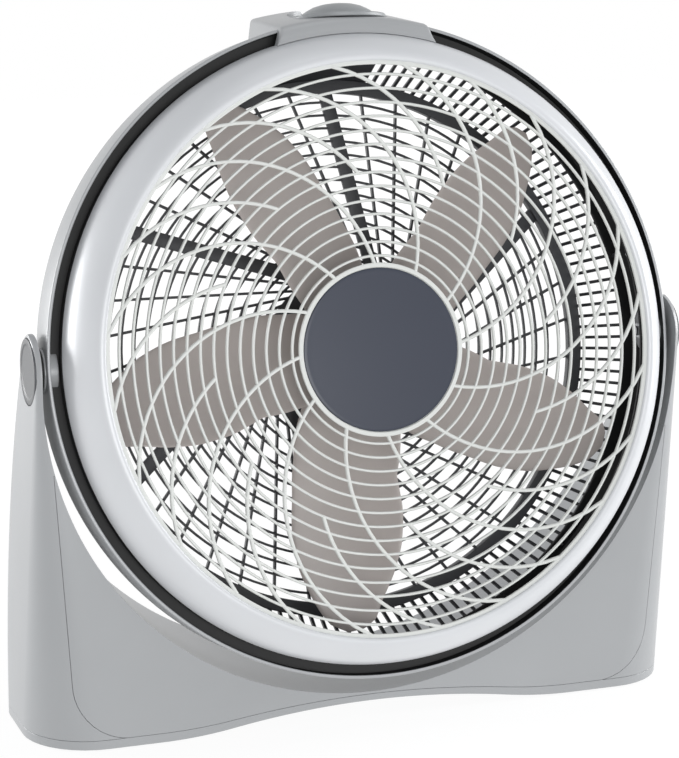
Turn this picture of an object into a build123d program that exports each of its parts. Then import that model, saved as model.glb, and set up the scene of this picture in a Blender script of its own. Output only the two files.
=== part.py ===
from build123d import *
from math import asin, atan, atan2, cos, degrees, radians, sin, sqrt
import os

# Floor-standing air circulator: a round drum that tilts between the arms of a U-shaped base.
# Sizes are in mm and degrees. The origin is on the floor, below the tilt axis.
# X runs to the right as seen from the front, the front faces -Y, and Z is up.
# The drum and all it carries are drawn upright with the tilt axis through the origin and the
# drum's own axis along Y. "Forward" distances are measured ahead of the tilt axis, towards -Y.

# ---------------------------------------------------------------- driving dimensions
# stance
bridge_height = 23.7        # lowest point of the cradle, above the floor
rest_tilt = 9.75            # how far the drum leans back in the rest pose
foot_lift = 1.5             # rubber feet stand this far below the base

# drum shell
drum_radius = 266.0
drum_wall = 2.7
drum_front = 23.5
drum_band_back = 14.0       # the straight band ends here, then a shoulder turns in
drum_back = 24.0
shoulder_turn_in = 10.0
flange_depth = 10.0         # behind the shoulder the drum turns in again, to carry the rear grille
groove_width = 7.6          # dark groove between the drum's lip and the front ring
ledge_depth = 16.3
ledge_front = 12.7
ledge_thickness = 2.7

# front ring
ring_shoulder = 28.5        # forward end of the ring's straight skirt
ring_crest_inset = 22.7
ring_crest = 64.5
ring_bulge = 5.6            # how far the convex band swells beyond its chord
band_steps = 3              # straight stretches that make up the band's curve
ring_width = 29.7
ring_lip_depth = 2.4
ring_wall = 2.8

# tilt pivots and the gap between drum and base
cradle_gap = 5.5
cradle_drop = 11.3          # the cradle's centre lies this far below the tilt axis
arm_thickness = 5.0
arm_radius = 29.5           # rounded top of each arm, centred on the tilt axis
pad_radius = 20.0
pad_height = 3.0
boss_radius = 18.0
boss_proud = 1.2            # the drum's pivot boss stands this far out of the drum
boss_depth = 11.3
washer_play = 0.1
bolt_radius = 4.0
bolt_play = 0.05
bolt_tail = 3.0
bolt_head_radius = 9.0
bolt_head_height = 2.8
nut_size = 7.0
nut_height = 5.0
cap_radius = 26.5
cap_recess = 4.0
cap_face = 1.5
cap_proud = 0.5
cap_skirt = 2.0
cap_play = 0.25

# base shell
base_flare = 6.0            # each side leans out this much from the arm to the foot
base_steps = 6              # straight stretches of the swept rear edge
base_back_foot = 108.0      # rear edge at the floor, behind the tilt axis
arm_flare = 2.2             # how quickly the rear edge sweeps out below the arm
foot_corner = 46.0
arm_corner = 6.0
rear_corner_foot = 30.0
base_wall = 3.0
corner_steps = 3            # flats that turn each upright corner
arm_solid = 81.5            # the arms are solid from this far below the tilt axis

# foot line: flat feet at both ends, arched between them
arch_inset = 102.5
arch_turn_length = 60.0     # the arch is hollow along this length, then crowned
arch_rise = 14.5
cover_height = 7.5
cover_rise = 12.5           # the line above the bottom cover rises a little less
tray_floor = 2.5
seam_gap = 0.3

# front fascia
fascia_thickness = 2.4
fascia_drop = 78.0          # top of the fascia, below the tilt axis
fascia_inset_top = 13.8
fascia_inset_foot = 32.8
fascia_corner = 48.0

# front guard
hub_plate_radius = 69.5
guard_hub_forward = 47.5
guard_slope = 0.085         # the guard is dished: it comes forward this much per mm of radius
guard_thickness = 3.0
guard_facets = 12           # flat facets that make up the guard's dish
round_sides = 48            # flats of the smaller round pieces: badge and knob
guard_rim_width = 7.5
guard_lap = 5.0             # the ring's lip covers this much of the guard's rim
wire_first = 75.0
wire_pitch = 11.0
wire_count = 14
wire_width = 2.2
rib_width = 3.2
rib_turn_margin = 6.5       # every rib is an arc through the drum's axis, this much larger than the rim
rib_count = 24
part_rib_first_wire = 6     # every second rib starts from this wire
badge_gap = 4.0             # rim of the hub plate, outside the badge
badge_thickness = 1.6
badge_bevel = 0.4
badge_play = 0.2

# rear grille
rear_plane = 62.0           # front face of the flat middle, behind the tilt axis
rear_thickness = 4.0
motor_plate_margin = 14.0
dark_ring_inset = 42.5
dark_ring_width = 8.0
dark_ring_depth = 8.0
rear_rim_play = 0.5
rear_rim_width = 8.5
rear_rim_thickness = 3.0
rear_screw_length = 8.0
comb_bar_width = 3.0
comb_bar_depth = 6.0
comb_count = 36
strut_count = 6
strut_width = 12.0
strut_angle = 102.5
rear_ribs_per_bay = 2
rear_rib_width = 2.4
rib_offset = 50.0           # rear ribs and struts run tangent to a circle of this radius
rear_wire_first = 110.0
rear_wire_pitch = 48.0
rear_wire_count = 2
rear_wire_width = 3.0

# impeller
blade_count = 5
blade_angle = 45.5          # direction of the first blade
root_pitch = 31.0
tip_pitch = 19.0
blade_thickness = 2.2
blade_hollow = 9.0          # each blade's edges stand this far ahead of its middle
blade_flats = 4             # flat strips that make up the hollow
blade_chord = 130.0
blade_middle = -1.0         # middle of the blades, ahead of the tilt axis
blade_clearance = 32.3      # between blade tips and drum
impeller_hub_radius = 38.0
impeller_hub_front = 26.0
impeller_hub_back = -14.0
impeller_hub_wall = 3.0
hub_sides = 24
impeller_boss_radius = 9.0
impeller_roof = 9.0

# motor
motor_radius = 46.0
motor_length = 38.0
motor_sides = 16
front_bell_depth = 10.0
rear_bell_depth = 12.0
bell_wall = 2.5
core_ring_width = 10.0
core_slot_play = 1.0
motor_screw_inset = 4.5
shaft_radius = 4.0
shaft_play = 0.05
shaft_front = 24.0
shaft_tail = 1.5
bearing_radius = 11.0
bearing_width = 7.0
rotor_radius = 22.0
air_gap = 0.6
pole_width = 18.0
coil_inner = 25.0
coil_outer = 32.0
coil_side = 5.5
coil_end = 3.0
coil_play = 0.4
rotor_end_gap = 0.5
clamp_nut_size = 7.0
clamp_nut_height = 5.0
clamp_nut_play = 1.0

# crown with its knob and switch
crown_half_width = 66.5
crown_front_wall = 2.5
crown_back = 50.0
crown_rise = 6.4            # top of the crown above the drum
crown_fall = 4.0            # the crown's top falls this much to its ends
crown_corner = 13.0
crown_skirt = 20.0
crown_lip_gap = 0.3
grip_end = 14.5             # the carrying grip: a hollow open to the rear, under the crown's roof
grip_gap = 0.5
grip_roof = 6.0
crown_screw_inset = 10.5
crown_screw_y = 8.0
knob_radius = 40.0
knob_back = 13.0            # knob axis, behind the tilt axis
knob_height = 10.0
knob_dome_inset = 9.0
knob_disc_height = 5.6
knob_edge = 1.0
knob_dome_edge = 2.5
knob_gap = 0.6
stem_radius = 3.0
stem_play = 0.05
stem_hole_play = 2.0        # the stem passes freely through drum and crown
stem_in_switch = 6.0
stem_in_knob = 6.5
switch_width = 22.0
switch_depth = 15.0
switch_height = 14.0
box_screw_gap = 5.2         # between the switch box and the crown screws' heads
box_front = 4.0
box_depth = 25.0
box_drop = 30.0
box_wall = 2.0
capacitor_length = 28.0
capacitor_width = 14.0
capacitor_height = 12.0
capacitor_gap = 3.0

# fasteners
screw_sides = 6             # small round pieces are drawn many-sided
post_sides = 8
boss_sides = 12
cap_sides = 36
screw_radius = 1.9
screw_head_radius = 3.8
screw_head_height = 2.4
screw_play = 0.1
screw_post_radius = 6.0
screw_length = 16.0
screw_inset_front = 41.5
screw_inset_rear = 46.0
crown_screw_length = 10.0
rim_screw_count = 6
rim_screw_first = 15.0      # turned clear of the pivots and the switch box
rim_screw_length = 9.0
rim_post_radius = 4.4
foot_radius = 12.0
foot_thickness = 2.5
foot_inset_side = 67.5
foot_inset_front = 21.5
foot_inset_rear = 26.0

# ---------------------------------------------------------------- what follows from them
lap = 1.0                   # pieces that are fused run this far into each other
AHEAD = Plane.XZ            # sketches on it face the front: x to the right, y up, normal to -Y
drum_inner = drum_radius - drum_wall
drum_straight_back = drum_band_back - drum_wall / 2
flange_outer = drum_radius - shoulder_turn_in
flange_inner = flange_outer - flange_depth
flange_front = -drum_back + drum_wall
ledge_back = ledge_front - ledge_thickness
ledge_inner = drum_inner - ledge_depth
ring_outer = drum_inner - groove_width
ring_inner = ring_outer - ring_width
guard_rim_outer = ring_inner + guard_lap
guard_rim_inner = guard_rim_outer - guard_rim_width
rib_curve = guard_rim_outer / 2 + rib_turn_margin
badge_radius = hub_plate_radius - badge_gap
rim_screw_radius = (ledge_inner + ring_outer) / 2

cradle_radius = drum_radius + cradle_gap
cradle_height = bridge_height + cradle_radius
pivot_height = cradle_height + cradle_drop
arm_outer = cradle_radius + arm_thickness
foot_outer = arm_outer + base_flare
cavity_top = pivot_height - arm_solid
fascia_top = pivot_height - fascia_drop
pad_face = cradle_radius - pad_height
boss_face = drum_radius + boss_proud
cap_floor = arm_outer - cap_recess
cover_top = foot_lift + cover_height
arch_half_width = foot_outer - arch_inset
arch_turn = arch_half_width - arch_turn_length
foot_x = foot_outer - foot_inset_side
foot_front_y = foot_inset_front - arm_radius
foot_rear_y = base_back_foot - foot_inset_rear

rear_face = -rear_plane - rear_thickness
rear_rim_outer = flange_outer - rear_rim_play
rear_rim_inner = rear_rim_outer - rear_rim_width
dark_ring_outer = rear_rim_outer - dark_ring_inset
dark_ring_inner = dark_ring_outer - dark_ring_width
motor_plate_radius = motor_radius + motor_plate_margin
motor_back_face = -rear_plane
motor_front_face = motor_back_face + motor_length
core_back = motor_back_face + rear_bell_depth
core_front = motor_front_face - front_bell_depth
core_bore = motor_radius - core_ring_width
bell_bore = core_bore + core_slot_play
motor_screw_radius = motor_radius - motor_screw_inset
blade_tip = drum_inner - blade_clearance

crown_top = drum_radius + crown_rise
crown_floor = drum_radius - crown_skirt
crown_front = drum_front + crown_lip_gap + crown_front_wall
grip_half_width = crown_half_width - grip_end
grip_front = drum_back + rear_rim_thickness + grip_gap
crown_screw_x = crown_half_width - crown_screw_inset
crown_screw_seat = sqrt(drum_inner ** 2 - (crown_screw_x + screw_head_radius) ** 2) - screw_play
knob_dome_radius = knob_radius - knob_dome_inset
knob_seat = crown_top + knob_gap
box_half_width = crown_screw_x - screw_head_radius - box_screw_gap
box_bottom = drum_radius - box_drop
box_floor = box_bottom + box_wall
box_back = box_depth - box_front


# ---------------------------------------------------------------- drawing helpers
def outline(*points):
    """A flat face with straight sides."""
    return make_face(Polyline(*points, close=True))


def turned(*points):
    """A solid of revolution round the drum's axis, from (radius, forward) corners."""
    return revolve(outline(*[(radius, -forward) for radius, forward in points]), Axis.Y)


def tube(outer, inner, back, front):
    """A plain ring round the drum's axis between two forward distances."""
    return turned((inner, back), (outer, back), (outer, front), (inner, front))


def disc(radius, back, front):
    """A round plate on the drum's axis."""
    return ahead(Circle(radius), back, front)


def ahead(sketch, back, front):
    """Extrude a front-view sketch between two forward distances."""
    return extrude(AHEAD.offset(back) * sketch, front - back)


def polar(radius, angle):
    return (radius * cos(radians(angle)), radius * sin(radians(angle)))


def around(solid, count, start=0.0):
    """Copies of a solid spaced evenly round the drum's axis."""
    return [Rot(0, -(start + 360 * i / count), 0) * solid for i in range(count)]


def sideways(side, radius, inner, outer, sides=None):
    """A rod on the tilt axis from one |X| to another. side is -1 or 1."""
    shape = Circle(radius) if sides is None else RegularPolygon(radius, sides)
    return extrude(Plane.YZ.offset(side * inner) * shape, side * (outer - inner))


def leaned(solid):
    """From the drum's upright drawing to its place in the base, leaning back."""
    return Pos(0, 0, pivot_height) * Rot(-rest_tilt, 0, 0) * solid


# ---------------------------------------------------------------- base
def base_half_width(height):
    return foot_outer - base_flare * height / pivot_height


def base_plan(height, inset=0.0, skin=0.0):
    """Plan of the base at one height: shallow and sharp at the arm, deep and round at the foot."""
    share = 1 - height / pivot_height
    back = arm_radius + (base_back_foot - arm_radius) * (1 - (1 - share) ** arm_flare) - inset
    front = arm_radius - inset - skin
    front_corner = arm_corner + (foot_corner - arm_corner) * share - inset
    rear_corner = arm_corner + (rear_corner_foot - arm_corner) * share - inset
    half = base_half_width(height) - inset
    corners = (
        (half - front_corner, front_corner - front, front_corner, -90),
        (half - rear_corner, back - rear_corner, rear_corner, 0),
        (rear_corner - half, back - rear_corner, rear_corner, 90),
        (front_corner - half, front_corner - front, front_corner, 180),
    )
    points = []
    for x, y, radius, start in corners:
        turn = [polar(radius, start + 90 * i / corner_steps) for i in range(corner_steps + 1)]
        points += [(x + across, y + along) for across, along in turn]
    return Pos(0, 0, height) * outline(*points)


def base_block():
    """The base as one lofted block, before the cradle is cut out of it."""
    heights = [foot_lift + (pivot_height - foot_lift) * i / base_steps for i in range(base_steps + 1)]
    return loft([base_plan(height) for height in heights], ruled=True)


def base_hollow(skin=0.0):
    """The hollow inside the base, up to the solid upper part of the arms."""
    heights = [foot_lift, cavity_top / 2, cavity_top]
    return loft([base_plan(height, base_wall, skin) for height in heights], ruled=True)


def arm_tops():
    """Rounded tops of both arms, above the tilt axis."""
    top = Pos(0, 0, pivot_height) * extrude(Plane.YZ * Circle(arm_radius), arm_outer, both=True)
    return top - Pos(0, 0, pivot_height - arm_radius) * Box(
        3 * arm_outer, 4 * arm_radius, 2 * arm_radius
    )


def cradle(radius):
    """The space that the drum swings in: round below, straight-sided above."""
    reach = 2 * base_back_foot
    round_part = Circle(radius)
    straight_part = Pos(0, radius) * Rectangle(2 * radius, 2 * radius)
    return Pos(0, 0, cradle_height) * extrude(Plane.XZ * (round_part + straight_part), reach, both=True)


def below_arch(level, rise):
    """Everything under an arched foot line: flat ends, hollow turns and a crowned middle."""
    turn_height = rise * (arch_half_width - arch_turn) / arch_half_width
    reach = 2 * foot_outer
    left_turn = TangentArc((-arch_half_width, 0), (-arch_turn, turn_height), tangent=(1, 0))
    crown = ThreePointArc((-arch_turn, turn_height), (0, rise), (arch_turn, turn_height))
    right_turn = TangentArc((arch_half_width, 0), (arch_turn, turn_height), tangent=(-1, 0))
    frame = Polyline((arch_half_width, 0), (reach, 0), (reach, -reach), (-reach, -reach), (-reach, 0),
                     (-arch_half_width, 0))
    face = make_face(left_turn + crown + right_turn + frame)
    return Pos(0, 0, level) * extrude(Plane.XZ * face, reach, both=True)


def fascia_region(gap=0.0):
    """Front view of the fascia: inside the side seams and above the bottom cover's seam."""
    half_top = base_half_width(fascia_top) - fascia_inset_top
    half_foot = base_half_width(cover_top) - fascia_inset_foot
    top = (-half_top, fascia_top), (half_top, fascia_top)
    sheet = outline(*top, (half_foot, cover_top), (-half_foot, cover_top))
    sheet = fillet(sheet.vertices().group_by(Axis.Y)[0], fascia_corner)
    return offset(sheet, gap) if gap else sheet


def fascia_slab(gap, back):
    """The fascia's region, from well ahead of the base to a plane inside it."""
    return ahead(fascia_region(gap), back, 2 * arm_radius)


def screw_places():
    """Plan positions of the screws that hold the bottom cover."""
    x = foot_outer - base_wall - screw_post_radius + lap
    rows = (screw_inset_front - arm_radius, base_back_foot - screw_inset_rear)
    return [(side * x, y) for side in (-1, 1) for y in rows]


def foot_places():
    return [(side * foot_x, y) for side in (-1, 1) for y in (foot_front_y, foot_rear_y)]


def upright(places, radius, low, high, sides=None):
    """Vertical round or many-sided posts at plan positions."""
    shape = Circle(radius) if sides is None else RegularPolygon(radius, sides)
    posts = [extrude(Pos(x, y, low) * shape, high - low) for x, y in places]
    return Part() + posts


def base_shell():
    body = base_block() + arm_tops() - cradle(cradle_radius)
    body -= base_hollow(fascia_thickness) - cradle(cradle_radius + base_wall)
    posts = upright(screw_places(), screw_post_radius, foot_lift, cover_top + 2 * screw_length, post_sides)
    body += posts - cradle(cradle_radius + base_wall)
    body -= below_arch(cover_top + seam_gap, cover_rise)
    body -= fascia_slab(seam_gap, arm_radius - fascia_thickness)
    body -= below_arch(cover_top + seam_gap, cover_rise)
    at_pivot = Pos(0, 0, pivot_height)
    for side in (-1, 1):
        body += at_pivot * sideways(side, pad_radius, pad_face, cradle_radius + lap, boss_sides)
        body -= at_pivot * sideways(side, cap_radius + cap_play, cap_floor, arm_outer + lap, cap_sides)
        body -= at_pivot * sideways(side, bolt_radius + bolt_play, pad_face, arm_outer)
    bore = screw_radius + screw_play
    return body - upright(screw_places(), bore, foot_lift, cover_top + screw_length, screw_sides)


def front_fascia():
    skin = base_block() & fascia_slab(0, arm_radius - fascia_thickness)
    return skin - cradle(cradle_radius) - below_arch(cover_top + seam_gap, cover_rise)


def bottom_cover():
    tray = base_block() & below_arch(cover_top, cover_rise)
    tray -= below_arch(foot_lift, arch_rise)
    hollow = base_hollow() & below_arch(cover_top + lap, cover_rise)
    hollow -= below_arch(foot_lift + tray_floor, arch_rise)
    hollow -= upright(screw_places(), screw_post_radius, 0, pivot_height, post_sides)
    tray -= hollow
    tray -= upright(foot_places(), foot_radius + seam_gap, 0, foot_thickness, boss_sides)
    seat = foot_lift + screw_head_height
    tray -= upright(screw_places(), screw_head_radius + screw_play, 0, seat, screw_sides)
    return tray - upright(screw_places(), screw_radius + screw_play, 0, cover_top + screw_length, screw_sides)


def rubber_feet():
    return upright(foot_places(), foot_radius, 0, foot_thickness, boss_sides)


def base_screws():
    seat = foot_lift + screw_head_height
    heads = upright(screw_places(), screw_head_radius, foot_lift, seat, screw_sides)
    shanks = upright(screw_places(), screw_radius, seat, seat + screw_length, screw_sides)
    return heads + shanks


# ---------------------------------------------------------------- tilt pivots
def pivot_bolt(side):
    inner = boss_face - boss_depth - nut_height - bolt_tail
    head = sideways(side, bolt_head_radius, cap_floor, cap_floor + bolt_head_height, 6)
    return Pos(0, 0, pivot_height) * (head + sideways(side, bolt_radius, inner, cap_floor))


def pivot_nut(side):
    outer = boss_face - boss_depth - washer_play
    nut = sideways(side, nut_size, outer - nut_height, outer, 6)
    return Pos(0, 0, pivot_height) * (nut - sideways(side, bolt_radius + bolt_play, 0, arm_outer))


def friction_washer(side):
    inner = boss_face + washer_play
    washer = sideways(side, boss_radius, inner, pad_face, boss_sides)
    return Pos(0, 0, pivot_height) * (washer - sideways(side, bolt_radius + bolt_play, 0, arm_outer))


def pivot_cap(side):
    face = arm_outer + cap_proud
    cup = sideways(side, cap_radius, cap_floor, face, cap_sides)
    cup -= sideways(side, cap_radius - cap_skirt, cap_floor, face - cap_face, boss_sides)
    return Pos(0, 0, pivot_height) * cup


# ---------------------------------------------------------------- drum
def rim_screw_angles():
    return [rim_screw_first + 360 * i / rim_screw_count for i in range(rim_screw_count)]


def rim_rods(radius, back, front, sides=None):
    """Round rods along the drum's axis at the rim screws."""
    shape = Circle(radius) if sides is None else RegularPolygon(radius, sides)
    rods = [ahead(Pos(*polar(rim_screw_radius, angle)) * shape, back, front)
            for angle in rim_screw_angles()]
    return Part() + rods


def drum_shell():
    shell = turned(
        (drum_radius, drum_front),
        (drum_radius, -drum_band_back),
        (flange_outer, -drum_back),
        (flange_inner, -drum_back),
        (flange_inner, flange_front),
        (flange_outer, flange_front),
        (drum_inner, -drum_straight_back),
        (drum_inner, ledge_back),
        (ledge_inner, ledge_back),
        (ledge_inner, ledge_front),
        (drum_inner, ledge_front),
        (drum_inner, drum_front),
    )
    for side in (-1, 1):
        shell += sideways(side, boss_radius, boss_face - boss_depth, boss_face, boss_sides)
        shell -= sideways(side, bolt_radius + bolt_play, 0, arm_outer)
    shell -= rim_rods(screw_radius + screw_play, -drum_back, ledge_front, screw_sides)
    shell -= upright(crown_screw_places(), screw_radius + screw_play, box_bottom, crown_top, screw_sides)
    return shell - stem_hole()


def band_points(inset, count):
    """Points on the ring's convex band, from shoulder to crest, inside the surface by an inset."""
    width, height = ring_crest_inset, ring_crest - ring_shoulder
    chord = sqrt(width ** 2 + height ** 2)
    radius = chord ** 2 / (8 * ring_bulge) + ring_bulge / 2
    middle = (ring_outer - width / 2, ring_shoulder + height / 2)
    away = (height / chord, width / chord)
    centre = [middle[i] + away[i] * (ring_bulge - radius) for i in (0, 1)]
    lean = degrees(atan2(away[1], away[0]))
    half = degrees(asin(chord / 2 / radius))
    points = []
    for i in range(count + 1):
        x, y = polar(radius - inset, lean - half + 2 * half * i / count)
        points.append((centre[0] + x, centre[1] + y))
    return points


def front_ring():
    """The wide convex ring round the guard."""
    outer, inner = band_points(0, band_steps), band_points(ring_wall, 2)
    lip_front = guard_front(ring_inner) + ring_lip_depth
    lip_back = guard_front(guard_rim_outer)
    ring = turned(
        (ring_outer, ledge_front),
        *outer,
        (ring_inner, lip_front),
        (ring_inner, lip_back),
        (guard_rim_outer + lap, lip_back),
        inner[1],
        (ring_outer - ring_wall, ring_shoulder),
        (ring_outer - ring_wall, ledge_front),
    )
    posts = rim_rods(rim_post_radius, ledge_front, ring_shoulder, screw_sides)
    posts &= tube(ring_outer - lap, ledge_inner, ledge_front, ring_shoulder)
    tips = ledge_front + rim_screw_length
    return ring + posts - rim_rods(screw_radius + screw_play, ledge_front, tips, screw_sides)


# ---------------------------------------------------------------- front guard
def guard_front(radius):
    """How far forward the dished guard's front face lies at a radius."""
    return guard_hub_forward + guard_slope * (radius - hub_plate_radius)


def rib_middle(radius):
    """Angle that a rib has swept at a radius: an arc through the drum's axis."""
    return degrees(asin(radius / (2 * rib_curve)))


def rib_half_angle(radius):
    """Half the angle that a rib's width covers, with the rib's slant allowed for."""
    slant = sqrt(1 - (radius / (2 * rib_curve)) ** 2)
    return degrees(rib_width / 2 / slant / radius)


def guard_cell(inner, outer, first_rib, last_rib):
    """One opening of the guard, between two wires and two ribs."""
    def arc(radius):
        start = first_rib * 360 / rib_count + rib_middle(radius) + rib_half_angle(radius)
        end = last_rib * 360 / rib_count + rib_middle(radius) - rib_half_angle(radius)
        steps = last_rib - first_rib
        return [polar(radius, start + (end - start) * i / steps) for i in range(steps + 1)]
    return outline(*arc(inner), *reversed(arc(outer)))


def wire_edges():
    """Radii between which the guard is open, from the hub plate to the rim."""
    wires = [wire_first + wire_pitch * i for i in range(wire_count)]
    inner = [hub_plate_radius] + [wire + wire_width / 2 for wire in wires]
    outer = [wire - wire_width / 2 for wire in wires] + [guard_rim_inner]
    return list(zip(inner, outer))


def guard_cells():
    cells = []
    for gap, (inner, outer) in enumerate(wire_edges()):
        step = 1 if gap > part_rib_first_wire else 2
        cells += [guard_cell(inner, outer, rib + 1, rib + 1 + step) for rib in range(0, rib_count, step)]
    return cells


def guard_bowl(level):
    """Everything ahead of a dished, many-sided surface whose flat middle is at one level."""
    size = 6 * guard_rim_outer
    block = Box(size, size, size, align=(Align.CENTER, Align.MAX, Align.CENTER))
    facet = Pos(0, -level, hub_plate_radius) * Rot(degrees(atan(guard_slope)), 0, 0) * block
    bowl = Pos(0, -level, 0) * block
    for turned_facet in around(facet, guard_facets):
        bowl &= turned_facet
    return bowl


def front_guard():
    """Dished guard: fine round wires crossed by curved ribs, with a flat plate for the badge."""
    seat = guard_hub_forward - badge_thickness
    back = guard_hub_forward - guard_thickness
    front = guard_front(guard_rim_outer) - seam_gap / 3
    dish = ahead(RegularPolygon(guard_rim_outer, 2 * rib_count), back, front) & guard_bowl(back)
    dish -= guard_bowl(guard_hub_forward)
    plate = RegularPolygon(hub_plate_radius - guard_thickness, guard_facets)
    dish += ahead(plate, seat - guard_thickness, back + lap)
    dish -= ahead(RegularPolygon(badge_radius + badge_play, round_sides), seat, guard_hub_forward)
    return dish - ahead(Sketch() + guard_cells(), back - lap, front + lap)


def badge_disc():
    """Bare round badge with a bevelled edge."""
    seat = guard_hub_forward - badge_thickness
    disc_edge = RegularPolygon(badge_radius, round_sides)
    badge = ahead(disc_edge, seat, guard_hub_forward + badge_bevel)
    return chamfer(badge.faces().sort_by(Axis.Y)[0].edges(), badge_bevel)


def ring_screws():
    head = rim_rods(screw_head_radius, ledge_back - screw_head_height, ledge_back, screw_sides)
    return head + rim_rods(screw_radius, ledge_back, ledge_front + rim_screw_length, screw_sides)


# ---------------------------------------------------------------- rear grille
def tangent_bar(angle, width, reach):
    """A straight bar from the motor plate outwards, tangent to the offset circle."""
    bar = Pos(reach / 2, -rib_offset) * Rectangle(reach, width)
    return Rot(0, 0, angle) * bar


def rear_middle():
    """Flat middle of the rear grille: struts and thin ribs crossed by two rings."""
    reach = sqrt(dark_ring_outer ** 2 - rib_offset ** 2) - 2 * lap
    spokes = []
    for bay in range(strut_count):
        start = strut_angle + bay * 360 / strut_count
        spokes.append(tangent_bar(start, strut_width, reach))
        for i in range(rear_ribs_per_bay):
            angle = start + (i + 1) * 360 / strut_count / (rear_ribs_per_bay + 1)
            spokes.append(tangent_bar(angle, rear_rib_width, reach))
    web = Sketch() + spokes
    for i in range(rear_wire_count):
        radius = rear_wire_first + i * rear_wire_pitch
        sides = strut_count * (rear_ribs_per_bay + 1) * 2
        web += RegularPolygon(radius + rear_wire_width / 2, sides) - RegularPolygon(
            radius - rear_wire_width / 2, sides)
    web -= Circle(motor_plate_radius - 2 * lap)
    return ahead(web & Circle(dark_ring_inner + lap), rear_face, -rear_plane)


def comb_bar():
    """One bar of the outer comb, slanting forward from the dark ring to the rim."""
    low, high = dark_ring_outer - lap, rear_rim_inner + lap
    back, front = rear_face + lap, -drum_back - rear_rim_thickness + lap
    profile = outline(
        (low, -back),
        (low, -back - comb_bar_depth),
        (high, -front),
        (high, -front + comb_bar_depth / 2),
    )
    return extrude(profile, comb_bar_width / 2, both=True)


def rear_grille():
    """Dark rear grille: a comb of slanting bars round a flat middle that carries the motor."""
    ring = RegularPolygon(dark_ring_outer, comb_count) - RegularPolygon(dark_ring_inner, comb_count)
    rim = RegularPolygon(rear_rim_outer, comb_count) - RegularPolygon(rear_rim_inner, comb_count)
    grille = rear_middle() + ahead(RegularPolygon(motor_plate_radius, comb_count), rear_face, -rear_plane)
    grille += ahead(ring, rear_face, rear_face + dark_ring_depth)
    grille += ahead(rim, -drum_back - rear_rim_thickness, -drum_back)
    grille += around(comb_bar(), comb_count)
    grille -= rim_rods(screw_radius + screw_play, -drum_back - rear_rim_thickness, -drum_back, screw_sides)
    return grille - motor_screw_rods(screw_radius + screw_play, rear_face, -rear_plane)


def rear_screws():
    """Short screws that hold the rear grille's rim to the drum."""
    back = -drum_back - rear_rim_thickness
    head = rim_rods(screw_head_radius, back - screw_head_height, back, screw_sides)
    return head + rim_rods(screw_radius, back, back + rear_screw_length, screw_sides)


# ---------------------------------------------------------------- impeller
def blade_outline():
    """Front view of one blade: broad at the root, drawn in to a rounded, swept tip."""
    shape = (
        (0.15, -54), (0.3, -37), (0.45, -25.5), (0.58, -19), (0.7, -15), (0.8, -11), (0.88, -7), (0.94, -4),
        (0.98, -1.5), (1, 2), (0.985, 5), (0.95, 7.2), (0.88, 8.8), (0.8, 11.5), (0.7, 14.5), (0.58, 17),
        (0.45, 18), (0.3, 27), (0.15, 46),
    )
    return outline(*[polar(share * blade_tip, angle) for share, angle in shape])


def blade_section(radius, pitch):
    """Section across a blade at one radius: a thin hollow-fronted sheet, turned to its pitch."""
    half = blade_chord / 2
    across = [half * (2 * i / blade_flats - 1) for i in range(blade_flats + 1)]
    rear = [(x, blade_hollow * (x / half) ** 2) for x in across]
    front = [(x, y + blade_thickness) for x, y in reversed(rear)]
    return Plane.YZ.offset(radius) * Rot(0, 0, 90 + pitch) * outline(*rear, *front)


def blade():
    """One blade: a sheet that twists from root to tip, cut to the outline."""
    middle_pitch = (root_pitch + tip_pitch) / 2
    sections = (
        blade_section(impeller_hub_radius / 2, root_pitch),
        blade_section(blade_tip / 2, middle_pitch),
        blade_section(blade_tip + blade_thickness, tip_pitch),
    )
    sheet = loft(sections, ruled=True)
    cut = ahead(blade_outline(), -blade_chord / 2, blade_chord / 2)
    return Pos(0, -blade_middle, 0) * (sheet & cut)


def impeller():
    roof = impeller_hub_front - impeller_roof
    core = impeller_hub_radius - impeller_hub_wall
    hub = ahead(RegularPolygon(impeller_hub_radius, hub_sides), impeller_hub_back, impeller_hub_front)
    wheel = hub + around(blade(), blade_count, blade_angle)
    hollow = RegularPolygon(core, hub_sides) - RegularPolygon(impeller_boss_radius, hub_sides // 2)
    wheel -= ahead(hollow, impeller_hub_back - blade_chord, roof)
    nut_seat = RegularPolygon(clamp_nut_size + clamp_nut_play, 6)
    wheel -= ahead(nut_seat, shaft_front - clamp_nut_height, impeller_hub_front)
    return wheel - disc(shaft_radius + shaft_play, impeller_hub_back, impeller_hub_front)


# ---------------------------------------------------------------- motor
def motor_screw_rods(radius, back, front):
    shape = RegularPolygon(radius, screw_sides)
    places = [polar(motor_screw_radius, 45 + 90 * i) for i in range(4)]
    return Part() + [ahead(Pos(*place) * shape, back, front) for place in places]


def motor_bell(face, joint, toward):
    """One end bell: a cup that holds a bearing. toward is 1 for the front bell, -1 for the rear."""
    hollow = joint + (coil_end + coil_play) * toward
    cup = ahead(RegularPolygon(motor_radius, motor_sides), joint, hollow + bell_wall * toward)
    cup += ahead(RegularPolygon(bell_bore, motor_sides), joint, face)
    cup -= ahead(RegularPolygon(core_bore, motor_sides), joint, hollow)
    cup += ahead(RegularPolygon(bearing_radius + bell_wall, motor_sides), joint, hollow)
    cup -= ahead(RegularPolygon(bearing_radius, motor_sides), joint, joint + bearing_width * toward)
    cup -= ahead(RegularPolygon(bearing_radius - bell_wall, motor_sides), joint, face)
    return cup - motor_screw_rods(screw_radius + screw_play, motor_back_face, motor_front_face)


def motor_front_bell():
    return motor_bell(motor_front_face, core_front, 1)


def motor_rear_bell():
    return motor_bell(motor_back_face, core_back, -1)


def four(solid):
    return around(solid, 4)


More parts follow.
